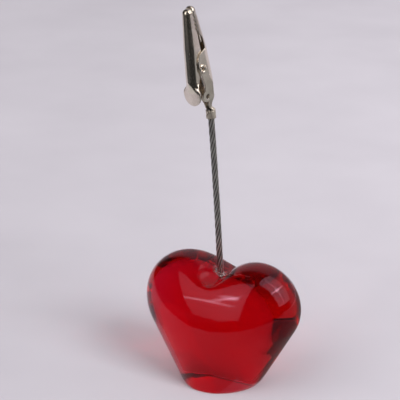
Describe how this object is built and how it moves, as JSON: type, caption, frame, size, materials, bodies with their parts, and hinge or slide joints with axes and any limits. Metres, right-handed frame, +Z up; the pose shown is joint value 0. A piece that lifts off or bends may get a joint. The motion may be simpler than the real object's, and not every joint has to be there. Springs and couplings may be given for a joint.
{
  "type": "memo holder",
  "caption": "Memo holder: a clear heart with a flat foot carries an upright wire rope stalk, whose sprung alligator clip grips a note or a photo.",
  "frame": {"origin": "centre of the heart's flat foot, on the surface that it stands on", "axes": "+Z up, +X to the right along the heart's width seen from the front, the front faces -Y"},
  "size_m": [0.0504, 0.031, 0.1179],
  "materials": {
    "heart": "clear red, polished",
    "adhesive": "clear, cured",
    "rope": "bright drawn wire",
    "clip": "nickel plated sheet",
    "rivet": "nickel plated",
    "spring": "drawn spring wire"
  },
  "bodies": {
    "stand": {"heart_base": "heart", "adhesive_sleeve": "adhesive", "rope_core_strand": "rope", "rope_strand_1": "rope", "rope_strand_2": "rope", "rope_strand_3": "rope", "rope_strand_4": "rope", "rope_strand_5": "rope", "rope_strand_6": "rope", "crimp_jaw": "clip", "pivot_rivet": "rivet", "clip_spring": "spring"},
    "thumb_lever": {"thumb_jaw": "clip"}
  },
  "joints": [
    {"name": "jaw_hinge", "type": "hinge", "parent": "stand", "child": "thumb_lever", "pos_m": [-0.00682, -0.00431, 0.09935], "axis": [0.958, -0.2756, 0.0788], "range_deg": [0, 12], "stiffness_Nm_per_rad": 0.13, "springref_deg": -24.64, "deforming": ["clip_spring"]}
  ]
}
